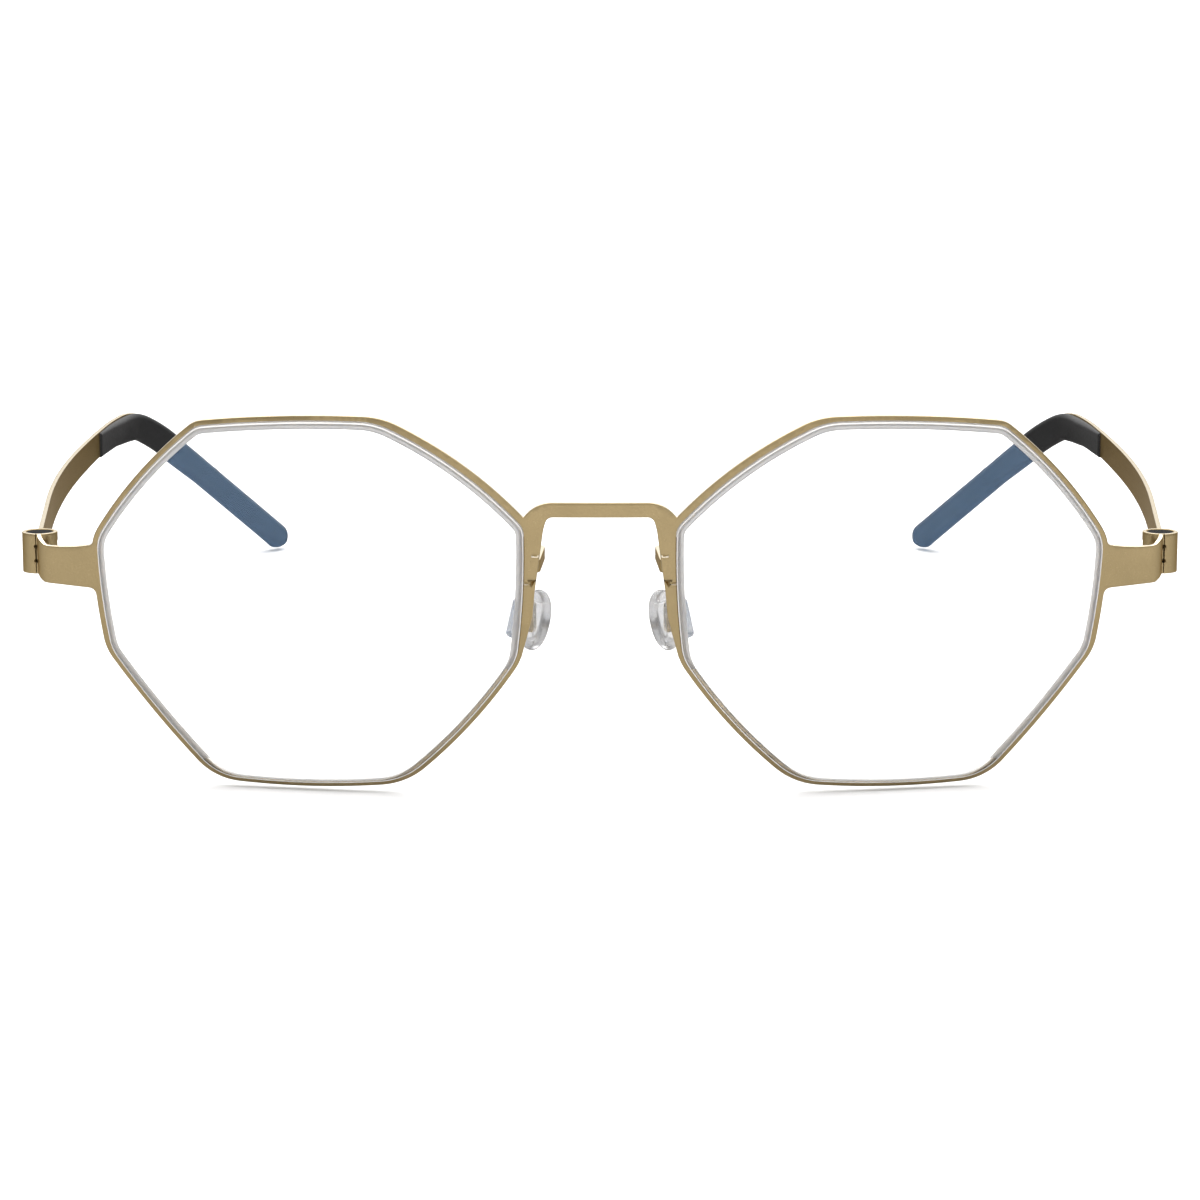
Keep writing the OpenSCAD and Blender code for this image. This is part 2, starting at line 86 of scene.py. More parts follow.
def tilted(p):
    """From the front's own frame, which leans by TILT, to the wearing frame."""
    c, s = math.cos(rad(TILT)), math.sin(rad(TILT))
    x, y, z = p
    return (x, y * c - z * s, y * s + z * c)


def dome(x, z, deep=0.0):
    """A point of the curved front, `deep` behind its face, in the front's own frame."""
    return (x, DOME_R - math.sqrt((DOME_R - deep) ** 2 - x * x - (z + DROP) ** 2), z)


print("lens centre", LENS_X, "dome depth at the lug %.2f mm" % dome(68, 0)[1])

# %% [markdown]
# ## The outline of a lens
# Eight sides that bulge a little and eight rounded corners, clockwise from the upper nose
# corner of the lens on the +X side.  `outline(shift)` moves each side out or in by its own
# amount, which gives the rim and the groove as well as the lens.

# %% The lens outline
CORNERS = [Vector(p) for p in (
    (-HALF_W, 10.5), (-8, HALF_H), (13.8, HALF_H - 1.2), (HALF_W + 0.6, 7.2),
    (HALF_W - 0.8, -6.8), (12.4, 0.5 - HALF_H), (-11, 1 - HALF_H), (0.85 - HALF_W, -5.9))]
SIDE_R = (50, 138, 55, 87, 147, 110, 70, 100)
CORNER_R = (2.5, 9, 3, 5, 5.5, 7, 9, 6)
RIM_W = (0.85, 0.6, 0.54, 0.7, 0.64, 0.54, 0.54, 0.54)
LOWEST, NEXT = 5, 6                     # the side that it stands on, and the one towards the nose
GROOVE_AT = [GROOVE + GROOVE_SPACE] * 8
GROOVE_AT[LOWEST], GROOVE_AT[NEXT] = LOW_GROOVE, NEXT_GROOVE
SHEET_AT = [GROOVE] * 8
SHEET_AT[LOWEST] = LOW_SHEET


def arc_centre(p, q, r):
    d = q - p
    return (p + q) / 2 + Vector((d.y, -d.x)) / d.length * math.sqrt(r * r - d.length_squared / 4)


def meet(a, ra, b, rb, near):
    """Where two circles meet, nearest to a point."""
    d = b - a
    e, size = d / d.length, d.length
    along = (size * size + ra * ra - rb * rb) / (2 * size)
    up = math.sqrt(max(0.0, ra * ra - along * along))
    both = [a + e * along + Vector((-e.y, e.x)) * up * k for k in (1, -1)]
    return min(both, key=lambda c: (c - near).length)


def heading(a, b):
    return math.atan2(b.y - a.y, b.x - a.x)


def turn(a, b):
    return (b - a + math.pi) % (2 * math.pi) - math.pi


def on_arc(c, r, a):
    return c + Vector((math.cos(a), math.sin(a))) * r


def outline(shift, steps=26, corner_steps=12):
    """Loop of 2-D points round the lens on the +X side, clockwise."""
    n = 8
    shift = [shift] * n if isinstance(shift, (int, float)) else shift
    centre = [arc_centre(CORNERS[i], CORNERS[(i + 1) % n], SIDE_R[i]) for i in range(n)]
    reach = [SIDE_R[i] + shift[i] for i in range(n)]
    fillet = [CORNER_R[i] + (shift[i] + shift[i - 1]) / 2 for i in range(n)]
    knot = [meet(centre[i - 1], reach[i - 1] - fillet[i], centre[i], reach[i] - fillet[i],
                 CORNERS[i]) for i in range(n)]
    out = []
    for i in range(n):
        a0, a1 = heading(centre[i - 1], knot[i]), heading(centre[i], knot[i])
        a2 = heading(centre[i], knot[(i + 1) % n])
        out += [on_arc(knot[i], fillet[i], a0 + turn(a0, a1) * k / corner_steps)
                for k in range(corner_steps + 1)]
        out += [on_arc(centre[i], reach[i], a1 + turn(a1, a2) * k / steps) for k in range(1, steps)]
    return [Vector((p.x + LENS_X, p.y - DROP)) for p in out]


def soft(points, radii):
    """A closed outline with each corner rounded to its own radius."""
    pts, out = [Vector(p) for p in points], []
    for i, b in enumerate(pts):
        r = radii[i]
        if not r:
            out.append(b)
            continue
        u = (pts[i - 1] - b).normalized()
        v = (pts[(i + 1) % len(pts)] - b).normalized()
        half = math.acos(u.dot(v)) / 2
        mid = b + (u + v).normalized() * r / math.sin(half)
        a0 = heading(mid, b + u * r / math.tan(half))
        a1 = heading(mid, b + v * r / math.tan(half))
        out += [on_arc(mid, r, a0 + turn(a0, a1) * k / 10) for k in range(11)]
    return out


def sharp(*points):
    return [Vector(p) for p in points]


def circle(x, z, r, n=24):
    turns = [2 * math.pi * k / n for k in range(n)]
    return [Vector((x + r * math.cos(a), z + r * math.sin(a))) for a in turns]


def box(x0, z0, x1, z1):
    return sharp((x0, z0), (x1, z0), (x1, z1), (x0, z1))


print("points round a lens:", len(outline(0)))

# %% [markdown]
# ## Sheet metal
# A sheet piece is drawn flat, as it was cut, and then mapped to its bent shape.  The flat
# drawings are joined and cut with a triangulation.


# %% Join and cut flat drawings
def inside(points, loops):
    """Even-odd test of many points against all the loops together."""
    odd = np.zeros(len(points), bool)
    x, z = points[:, 0], points[:, 1]
    for loop in loops:
        for p, q in zip(loop, loop[1:] + loop[:1]):
            if p.y != q.y:
                hit = (p.y > z) != (q.y > z)
                odd ^= hit & (x < (q.x - p.x) * (z - p.y) / (q.y - p.y) + p.x)
    return odd


def triangles(loops, extra=()):
    """Points and triangles over the loops, with the loops as edges, and each triangle's middle."""
    verts, edges = [], []
    for loop in loops:
        n, at = len(loop), len(verts)
        edges += [(at + k, at + (k + 1) % n) for k in range(n)]
        verts += [Vector(p) for p in loop]
    v, _, f = delaunay_2d_cdt(verts + list(extra), edges, [], 0, 1e-5)[:3]
    f = [t if (v[t[1]] - v[t[0]]).cross(v[t[2]] - v[t[0]]) > 0 else t[::-1] for t in f]
    flat = np.array([tuple(p) for p in v])
    return v, f, flat[np.array(f)].mean(axis=1)


def joined(add, cut):
    """Boundary loops of the drawings in add, less those in cut; the metal lies on their left."""
    v, f, middle = triangles(add + cut)
    metal = np.any([inside(middle, [loop]) for loop in add], axis=0)
    for loop in cut:
        metal &= ~inside(middle, [loop])
    edges = {(t[k], t[(k + 1) % 3]) for t, kept in zip(f, metal) if kept for k in range(3)}
    follow = {a: b for a, b in edges if (b, a) not in edges}
    loops = []
    while follow:
        a = next(iter(follow))
        loop = []
        while a in follow:
            loop.append(v[a])
            a = follow.pop(a)
        if len(loop) > 2:
            loops.append(loop)
    return loops


def dense(loop, cell):
    """The same loop with no step longer than cell."""
    out = []
    for p, q in zip(loop, loop[1:] + loop[:1]):
        n = max(1, math.ceil((q - p).length / cell))
        out += [p + (q - p) * k / n for k in range(n)]
    return out


def inset(loop, d):
    """The loop moved into the metal by d; the metal lies on its left."""
    out = []
    for i, p in enumerate(loop):
        u, v = (p - loop[i - 1]).normalized(), (loop[(i + 1) % len(loop)] - p).normalized()
        m = Vector((-u.y - v.y, u.x + v.x))
        m = m.normalized() if m.length > 1e-6 else Vector((-u.y, u.x))
        out.append(p + m * d / max(0.5, m.dot(Vector((-u.y, u.x)))))
    return out


print("a 2 mm square less a hole:", len(joined([box(-1, -1, 1, 1)], [circle(0, 0, 0.5)])), "loops")

# %% [markdown]
# The drawing gets a front and a back, and rings round each loop give the rounded edge.  The
# middle of the edge takes the second material, a paler gold that is a painted highlight.


# %% Give a drawing its thickness
def finished(bm, name):
    """The mesh of bm, with its normals outward."""
    bmesh.ops.recalc_face_normals(bm, faces=bm.faces)
    mesh = bpy.data.meshes.new(name)
    bm.to_mesh(mesh)
    bm.free()
    return mesh


def sheet_mesh(name, loops, place, thick=SHEET, edge=0.11, cell=0.8, steps=3):
    """Mesh of a flat drawing with a thickness and a rounded edge, bent by place(x, z, depth)."""
    loops = [dense(loop, cell) for loop in loops]
    core = [inset(loop, edge) for loop in loops]
    flat = np.array([tuple(p) for loop in core for p in loop])
    (x0, z0), (x1, z1) = flat.min(axis=0), flat.max(axis=0)
    grid = [Vector((x0 + cell * (i + j % 2 / 2), z0 + cell * j))
            for i in range(int((x1 - x0) / cell) + 1) for j in range(int((z1 - z0) / cell) + 1)]
    v, f, middle = triangles(core, grid)
    bm = bmesh.new()
    front = [bm.verts.new((p.x, p.y, 0)) for p in v]
    back = [bm.verts.new((p.x, p.y, thick)) for p in v]
    for tri, kept in zip(f, inside(middle, core)):
        if kept:
            bm.faces.new([front[k] for k in tri])
            bm.faces.new([back[k] for k in reversed(tri)])
    turns = [rad(90 * k / steps) for k in range(steps + 1)]
    rings = [(edge * (1 - math.sin(a)), edge * (1 - math.cos(a))) for a in turns]
    rings += [(i, thick - d) for i, d in reversed(rings)]
    for loop in loops:
        last = None
        for step, (i, d) in enumerate(rings):
            now = [bm.verts.new((p.x, p.y, d)) for p in inset(loop, i)]
            if last:
                for k in range(len(now)):
                    j = (k + 1) % len(now)
                    face = bm.faces.new((last[k], last[j], now[j], now[k]))
                    # the middle rings of the edge take the paler gold: a painted highlight along
                    # every edge
                    face.material_index = steps <= step <= steps + 1
            last = now
    bmesh.ops.remove_doubles(bm, verts=bm.verts, dist=2e-4)
    bmesh.ops.delete(bm, geom=[q for q in bm.verts if not q.link_faces], context="VERTS")
    for q in bm.verts:
        q.co = place(q.co.x, q.co.y, q.co.z)
    return finished(bm, name)


def show(name, mesh, body, nodes, materials, angle=35):
    """Puts a mesh in the scene, smooth with crisp edges, on a body of the CAD part."""
    mesh.name = name
    for p in mesh.polygons:
        p.use_smooth = True
    mesh.set_sharp_from_angle(angle=rad(angle))
    ob = bpy.data.objects.new(name, mesh)
    bpy.context.scene.collection.objects.link(ob)
    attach(ob, body)
    if nodes:
        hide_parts(*nodes)
    for m in materials:
        mesh.materials.append(m)
    return ob


def weighted(ob):
    m = ob.modifiers.new("even_shading", "WEIGHTED_NORMAL")
    m.keep_sharp, m.weight = True, 80
    return ob


def bent(u, deep, start, way, parts, hand=1):
    """Follows a bent sheet in plan: u along its outer face, deep towards the inside of the bends.
    parts are (length, radius), with radius 0 for a straight; way is the first heading in degrees,
    and hand is -1 where the bends turn clockwise."""
    x, y = start
    a = rad(way)
    for k, (length, r) in enumerate(parts):
        here = u if k == len(parts) - 1 or u < length else length
        if r:
            cx, cy = x - r * math.sin(a) * hand, y + r * math.cos(a) * hand
            a += hand * here / r
            x, y = cx + r * math.sin(a) * hand, cy - r * math.cos(a) * hand
        else:
            x, y = x + here * math.cos(a), y + here * math.sin(a)
        u -= here
        if u == 0 and here < length:
            break
    return x - deep * math.sin(a) * hand, y + deep * math.cos(a) * hand


print("a quarter bend of radius 2 ends at (%.2f, %.2f)" % bent(math.pi, 0, (0, 0), 0, [(9, 2)]))

# %% [markdown]
# ## Surfaces
# Each finish is a node group that gives a colour, a roughness and a normal, and each material
# puts them on its own shader.


# %% Node helpers
def group(name, inputs, outputs):
    g = bpy.data.node_groups.new(name, "ShaderNodeTree")
    for n, kind, value in inputs:
        s = g.interface.new_socket(n, in_out="INPUT", socket_type=kind)
        s.default_value = value
    for n, kind in outputs:
        g.interface.new_socket(n, in_out="OUTPUT", socket_type=kind)
    return g, g.nodes.new("NodeGroupInput"), g.nodes.new("NodeGroupOutput")


def noise(g, coord, scale, detail=2.0, rough=0.5):
    t = g.nodes.new("ShaderNodeTexNoise")
    t.inputs["Scale"].default_value = scale
    t.inputs["Detail"].default_value = detail
    t.inputs["Roughness"].default_value = rough
    g.links.new(coord, t.inputs["Vector"])
    return t.outputs["Fac"]


def remap(g, value, low, high, from_low=0.3, from_high=0.7):
    m = g.nodes.new("ShaderNodeMapRange")
    m.inputs["From Min"].default_value = from_low
    m.inputs["From Max"].default_value = from_high
    m.inputs["To Min"].default_value = low
    m.inputs["To Max"].default_value = high
    g.links.new(value, m.inputs["Value"])
    return m.outputs["Result"]


def mixed(g, fac, a, b):
    m = g.nodes.new("ShaderNodeMix")
    m.data_type = "RGBA"
    for s, v in ((m.inputs[0], fac), (m.inputs[6], a), (m.inputs[7], b)):
        if isinstance(v, tuple):
            s.default_value = v
        else:
            g.links.new(v, s)
    return m.outputs[2]


def maths(g, operation, a, b, clamp=False):
    m = g.nodes.new("ShaderNodeMath")
    m.operation, m.use_clamp = operation, clamp
    g.links.new(a, m.inputs[0])
    g.links.new(b, m.inputs[1])
    return m.outputs[0]


def bump(g, height, strength, distance):
    b = g.nodes.new("ShaderNodeBump")
    b.inputs["Strength"].default_value = strength
    b.inputs["Distance"].default_value = distance
    g.links.new(height, b.inputs["Height"])
    return b.outputs["Normal"]


def finish_group(name, grain, cloud, grain_depth, spread, uneven=0.05):
    """A grained finish: fine grain, a soft cloud of tone and a little unevenness of the shine."""
    g, gi, go = group(name, [("Colour", "NodeSocketColor", (0.5, 0.5, 0.5, 1)),
                             ("Shade", "NodeSocketColor", (0.4, 0.4, 0.4, 1)),
                             ("Roughness", "NodeSocketFloat", 0.4)],
                      [("Colour", "NodeSocketColor"), ("Roughness", "NodeSocketFloat"),
                       ("Normal", "NodeSocketVector")])
    coord = g.nodes.new("ShaderNodeTexCoord").outputs["Object"]
    fine = noise(g, coord, grain, 3, 0.6)
    soft_cloud = noise(g, coord, cloud)
    tone = mixed(g, remap(g, soft_cloud, 0.0, spread), gi.outputs["Colour"], gi.outputs["Shade"])
    tone = mixed(g, remap(g, fine, 0.0, spread), tone, gi.outputs["Shade"])
    shine = maths(g, "ADD", gi.outputs["Roughness"], remap(g, fine, -uneven, uneven))
    g.links.new(tone, go.inputs["Colour"])
    g.links.new(shine, go.inputs["Roughness"])
    g.links.new(bump(g, fine, 0.25, grain_depth), go.inputs["Normal"])
    return g


def material(name, finish, colour, shade, rough, **sockets):
    """A Principled material whose colour runs from colour to shade by the finish's pattern."""
    m = bpy.data.materials.new(name)
    m.use_nodes = True
    t = m.node_tree
    p = t.nodes["Principled BSDF"]
    for k, v in sockets.items():
        p.inputs[k.replace("_", " ")].default_value = v
    n = t.nodes.new("ShaderNodeGroup")
    n.node_tree = finish
    n.inputs["Colour"].default_value = (*colour, 1)
    n.inputs["Shade"].default_value = (*shade, 1)
    n.inputs["Roughness"].default_value = rough
    t.links.new(n.outputs["Colour"], p.inputs["Base Color"])
    t.links.new(n.outputs["Roughness"], p.inputs["Roughness"])
    t.links.new(n.outputs["Normal"], p.inputs["Normal"])
    return m


blasted = finish_group("blasted_sheet", 5200, 240, 0.00002, 0.5)
turned = finish_group("turned_metal", 2600, 300, 0.00001, 0.5)
rubbery = finish_group("soft_rubber", 2400, 120, 0.00002, 0.6)
clear = finish_group("clear_surface", 900, 60, 0.0, 0.3, 0.0)
soft_clear = finish_group("soft_clear", 1500, 260, 0.00002, 0.6, 0.04)
print("finishes:", [g.name for g in bpy.data.node_groups])

# %% [markdown]
# The metals are pale gold on the faces and dark on the pins; the rounded edges take a paler gold as
# painted highlight.  The lens is clear with a blue coating; the ground parts of its edge are matt,
# in three ways, and a dark line along its lower and nose sides is painted shade.

# %% The materials
LENS_IOR = 1.67
gold = material("pale_gold_titanium", blasted, (0.425, 0.325, 0.173), (0.345, 0.262, 0.137), 0.32,
                Metallic=1.0, Specular_Tint=(0.85, 0.7, 0.48, 1))
# a paler copy of the gold, painted highlight for the rounded edges of the sheet and the strips
painted_edge_highlight = material("painted_edge_highlight", blasted, (0.74, 0.69, 0.59), (0.64, 0.59, 0.49), 0.25,
                    Metallic=1.0, Specular_Tint=(0.95, 0.88, 0.76, 1))
pin_grey = material("pin_steel", turned, (0.06, 0.06, 0.063), (0.04, 0.04, 0.043), 0.25,
                    Metallic=1.0, Specular_Tint=(0.3, 0.3, 0.3, 1))
black = material("black_silicone", rubbery, (0.010, 0.010, 0.010), (0.017, 0.017, 0.018), 0.45,
                 IOR=1.4, Specular_IOR_Level=0.36)
clear_pad = material("clear_silicone", soft_clear, (0.74, 0.72, 0.69), (0.37, 0.385, 0.42), 0.16,
                     IOR=1.41, Transmission_Weight=0.8)
glass = material("coated_lens", clear, (1.0, 1.0, 1.0), (0.985, 0.99, 0.99), 0.0, IOR=LENS_IOR,
                 Transmission_Weight=1.0, Specular_IOR_Level=1.0,
                 Specular_Tint=(0.33, 0.59, 1.0, 1))
ground = material("ground_glass", clear, (0.98, 0.97, 0.96), (0.88, 0.87, 0.86), 0.35,
                  IOR=LENS_IOR, Transmission_Weight=0.45)
ground_wall = material("ground_wall", clear, (0.80, 0.775, 0.75), (0.66, 0.64, 0.62), 0.3,
                       IOR=LENS_IOR, Transmission_Weight=0.5)
# dark brown metal: painted shade for the line where the lens lip meets the rim
lip_painted_shade = material("lip_painted_shade", turned, (0.17, 0.128, 0.075), (0.12, 0.09, 0.053), 0.25,
                    Metallic=1.0)
wheel_cut = material("wheel_cut_glass", clear, (0.87, 0.87, 0.88), (0.75, 0.75, 0.76), 0.1,
                     IOR=LENS_IOR, Transmission_Weight=0.92)
print("materials:", [m.name for m in bpy.data.materials])

# %% [markdown]
# ## The front
# Rims, bridge, nose strips and lugs are one sheet.  Up to the end of the lug it follows the
# dome; there it bends round and runs back into the hinge barrel.

# %% The front sheet
NOSE_X = GAP / 2 - 2.1
LUG_X = LENS_X + HALF_W
LUG_TOP = 0.45
CURL_X = HINGE_X - CURL_R + 0.025
CURL_LEAN = math.degrees(math.asin((HINGE_X - CURL_R) / DOME_R))
CURL_FROM = CURL_X + CURL_R * math.sin(rad(CURL_LEAN))
CURL_Y = dome(CURL_FROM, -2)[1] + CURL_R * math.cos(rad(CURL_LEAN))
HINGE_Y = CURL_Y * math.cos(rad(TILT)) + 2 * math.sin(rad(TILT)) + BARREL_R - 0.1
CURL_ARC = CURL_R * rad(90 - CURL_LEAN)
SHEET_END = CURL_FROM + CURL_ARC + 0.3  # inside the barrel's wall
BARREL_LOW = -BARREL_H / 2 - CURL_Y * math.sin(rad(TILT))
BARREL_TOP = BARREL_LOW + BARREL_H
LOW_Z = BRIDGE_Z - BRIDGE_H
LUG_LOW = LUG_TOP - LUG_H
JOINT_Z = -2.0                          # the slit where the rim closes round the lens
LOCK = ((NOSE_X + 0.75, JOINT_Z + 0.62), (NOSE_X + 1.65, JOINT_Z + 0.62),
        (NOSE_X + 1.25, JOINT_Z - 0.2))


def front_place(x, z, deep):
    side = 1 if x >= 0 else -1
    if abs(x) <= CURL_FROM:
        return row(tilted(dome(x, z, deep)))
    start = (CURL_FROM, dome(CURL_FROM, z)[1])
    px, py = bent(abs(x) - CURL_FROM, deep, start, CURL_LEAN, [(CURL_ARC, CURL_R), (9, 0)])
    return row(tilted((px * side, py, z)))


def flipped(loops):
    return [[Vector((-p.x, p.y)) for p in loop][::-1] for loop in loops]


bridge_and_strip = soft(
    [(-0.5, BRIDGE_Z), (NOSE_X + 0.5, BRIDGE_Z), (NOSE_X + 2.25, BRIDGE_Z - 1.95),
     (LENS_X - HALF_W + 1.5, BRIDGE_Z - 3), (LENS_X - HALF_W + 1.5, -11.6), (NOSE_X + 2.5, -11.3),
     (NOSE_X + 1.1, -6), (NOSE_X + 0.85, -3), (NOSE_X - 0.25, 5), (NOSE_X - 0.7, LOW_Z),
     (-0.5, LOW_Z)],
    [0, 4.2, 0, 0, 0, 0, 6, 6, 8, 0.9, 0])
lug = soft(
    [(LUG_X - 1, 1.9), (LUG_X + 0.85, 1.4), (LUG_X + 1.45, LUG_TOP + 0.45),
     (LUG_X + 3.35, LUG_TOP + 0.15), (LUG_X + 5.15, LUG_TOP), (CURL_FROM, LUG_TOP),
     (CURL_FROM + 0.5, LUG_TOP + 0.1), (CURL_FROM + 1.1, LUG_TOP + 0.45),
     (SHEET_END - 0.7, BARREL_TOP), (SHEET_END, BARREL_TOP), (SHEET_END, BARREL_LOW),
     (SHEET_END - 0.9, BARREL_LOW), (CURL_FROM + 0.6, LUG_LOW + 0.05), (CURL_FROM, LUG_LOW),
     (LUG_X + 1, LUG_LOW - 0.25), (LUG_X + 0.6, LUG_LOW - 3), (LUG_X - 1, LUG_LOW - 3)],
    [0, 0, 0, 0, 0, 0, 0, 0.6, 0, 0, 0, 0.5, 0.8, 0, 0.9, 0, 0])
half_front = [bridge_and_strip, lug, outline(RIM_W)]
half_cuts = [
    outline([-depth for depth in SHEET_AT]),
    sharp((NOSE_X + 0.35, 1.76), (NOSE_X + 1.2, 1.76), (NOSE_X + 1.2, 1.46), (NOSE_X + 0.35, 1.46)),
    sharp((NOSE_X + 1.55, JOINT_Z + 0.28), (NOSE_X + 3.5, JOINT_Z + 0.28), (NOSE_X + 3.5, JOINT_Z),
          (NOSE_X + 1.55, JOINT_Z)),
    sharp(*LOCK)]
loops = joined(half_front + flipped(half_front), half_cuts + flipped(half_cuts))
front = show("front_sheet", sheet_mesh("front_sheet", loops, front_place), "frame",
             ["front_frame"], (gold, painted_edge_highlight))
weighted(front)
print("front sheet:", len(loops), "loops,", len(front.data.polygons), "faces")

# %% [markdown]
# A small triangle is punched into each nose strip, beside the slit, and locks the rim's joint.


# %% The punched lock of the rim's joint
def lock_mesh(side):
    bm = bmesh.new()
    rim = [bm.verts.new(row(tilted(dome(side * x, z, 0.03)))) for x, z in LOCK]
    low = bm.verts.new(row(tilted(dome(side * (NOSE_X + 1.08), JOINT_Z + 0.25, 0.28))))
    base = [bm.verts.new(row(tilted(dome(side * x, z, 0.5)))) for x, z in LOCK]
    for k in range(3):
        bm.faces.new((rim[k], rim[(k + 1) % 3], low))
        bm.faces.new((rim[k], base[k], base[(k + 1) % 3], rim[(k + 1) % 3]))
    bm.faces.new(base)
    return finished(bm, "lock")


for side, name in SIDES:
    lock = show(name + "_rim_lock", lock_mesh(side), "frame", [], (gold,), 10)
print("lock faces:", len(lock.data.polygons))

# %% [markdown]
# ## Hinge barrels
# Each barrel is rolled from the sheet.  It is cut flat with its window and with the two relief
# holes at the seam, and then rolled.

# %% The hinge barrels
SEAM = -90 + 6.0                        # direction of the seam, seen from above
AROUND = 2 * math.pi * BARREL_R
WINDOW_EARLY, WINDOW_TURN = 15, 84 + 30  # degrees before the open temple, and in all
window_from = (90 - LEAN - WINDOW_EARLY - SEAM) / 360 * AROUND
window_to = window_from + WINDOW_TURN / 360 * AROUND
window_h = NECK_H + 0.3
HOLE_R, HOLE_Z, SEAM_GAP, SLOT_GAP = 0.25, 0.9, 0.03, 0.08
for side, name in SIDES:
    def barrel_place(u, z, deep, side=side):
        a = rad(SEAM) + u / BARREL_R
        r = BARREL_R - deep
        return row((side * (HINGE_X + r * math.cos(a)), HINGE_Y + r * math.sin(a), z))
    flat = joined([box(SEAM_GAP, -BARREL_H / 2, AROUND - SEAM_GAP, BARREL_H / 2)],
                  [box(window_from, -window_h / 2, window_to, window_h / 2)]
                  + [circle(u, z, HOLE_R) for u in (0, AROUND) for z in (-HOLE_Z, HOLE_Z)]
                  + [box(-0.1, -HOLE_Z, SLOT_GAP, HOLE_Z),
                     box(AROUND - SLOT_GAP, -HOLE_Z, AROUND + 0.1, HOLE_Z)])
    mesh = sheet_mesh(name + "_barrel", flat, barrel_place, thick=0.55, edge=0.08, cell=0.35)
    weighted(show(name + "_barrel", mesh, "frame", [], (gold, painted_edge_highlight)))
print("barrels with", len(flat), "loop(s)")

# %% [markdown]
# ## Pad arms
# Cut with the front, bent back, bent out again, with a leg that goes down into the pad.

# %% The pad arms
ARM_X, ARM_Z, ARM_H, ARM_R, ARM_REACH = NOSE_X + 0.1, 0.3, 1.6, 0.9, 6.1
DRIFT, SPLAY, PAD_DROP, LEG_MID = 5.0, 40.0, 9.9, 2.7
ARM_Y = dome(ARM_X + ARM_R, ARM_Z)[1] + 0.01
BACK_FROM = ARM_R * rad(90)             # along the arm: the end of the first bend,
BACK_TO = BACK_FROM + ARM_REACH - ARM_R  # the end of the run back,
LEG_FROM = BACK_TO + ARM_R * rad(SPLAY + DRIFT)  # and the end of the second bend
leg_at, half_h = LEG_FROM + LEG_MID, ARM_H / 2
arm_parts = [(BACK_FROM, ARM_R), (BACK_TO - BACK_FROM, 0), (LEG_FROM - BACK_TO, ARM_R), (9, 0)]
arm_flat = joined([
    box(-0.4, ARM_Z - half_h, leg_at, ARM_Z + half_h),
    circle(leg_at, ARM_Z, half_h, 40),
    box(leg_at - half_h, ARM_Z - PAD_DROP, leg_at + half_h, ARM_Z),
    circle(leg_at, ARM_Z - PAD_DROP, half_h, 40)], [])


def drifted(x, y):
    """Turned a little towards the nose."""
    c, s = math.cos(rad(DRIFT)), math.sin(rad(DRIFT))
    return x * c - y * s, x * s + y * c


for side, name in SIDES:
    def arm_place(u, z, deep, side=side):
        x, y = ARM_X + ARM_R - u, ARM_Y + deep
        if u > 0:
            x, y = bent(u, deep, (ARM_X + ARM_R, ARM_Y), 180, arm_parts, hand=-1)
        if u > BACK_FROM:
            dx, dy = drifted(x - ARM_X, y - ARM_Y - ARM_R)
            x, y = ARM_X + dx, ARM_Y + ARM_R + dy
        return row(tilted((side * x, y, z)))
    mesh = sheet_mesh(name + "_pad_arm", arm_flat, arm_place, cell=0.4)
    weighted(show(name + "_pad_arm", mesh, "frame", [], (gold, painted_edge_highlight)))
print("pad arms:", len(arm_flat), "loop(s)")

# %% [markdown]
# ## Lenses
# A lens is a stack of rings: its front face, a small bevel, the groove that the rim sits in,
# another bevel and the back face.  The strips between the rings of the edge are ground matt, as
# the wheel leaves them, and differ a little between the upper, the lower and the nose sides.
# On the lower and the nose sides the strip of the front lip is a dark brown line instead: painted
# shade where the lens meets the rim.

# %% The lenses
# Strips are counted by the ring that they end at; those that aren't listed are clear
BEVEL, FRONT_LIP, FRONT_WALL, FLOOR, BACK_WALL, BACK_BEVEL = 7, 8, 9, 10, 11, 13
CLEAR, GROUND, CUT, SHADE_LINE, WALL = range(5)
UPPER = {BEVEL: GROUND, FRONT_LIP: CUT, FRONT_WALL: WALL, FLOOR: GROUND, BACK_WALL: WALL}
# on the lower and nose sides the front lip takes the dark line of painted shade
LOWER = {BEVEL: GROUND, FRONT_LIP: SHADE_LINE, FRONT_WALL: CUT, FLOOR: GROUND, BACK_WALL: CUT,
         BACK_BEVEL: GROUND}
NOSE = {**LOWER, FRONT_WALL: WALL, BACK_WALL: WALL}
FINISHES = [UPPER] * 5 + [LOWER] * 2 + [NOSE]  # one for each side of the outline
FACE = (0.0, 0.2, 0.4, 0.6, 0.8, 0.92)  # rings of a face, as shares of the outline
PLAY = 0.02                             # between the sheet and the walls of the groove


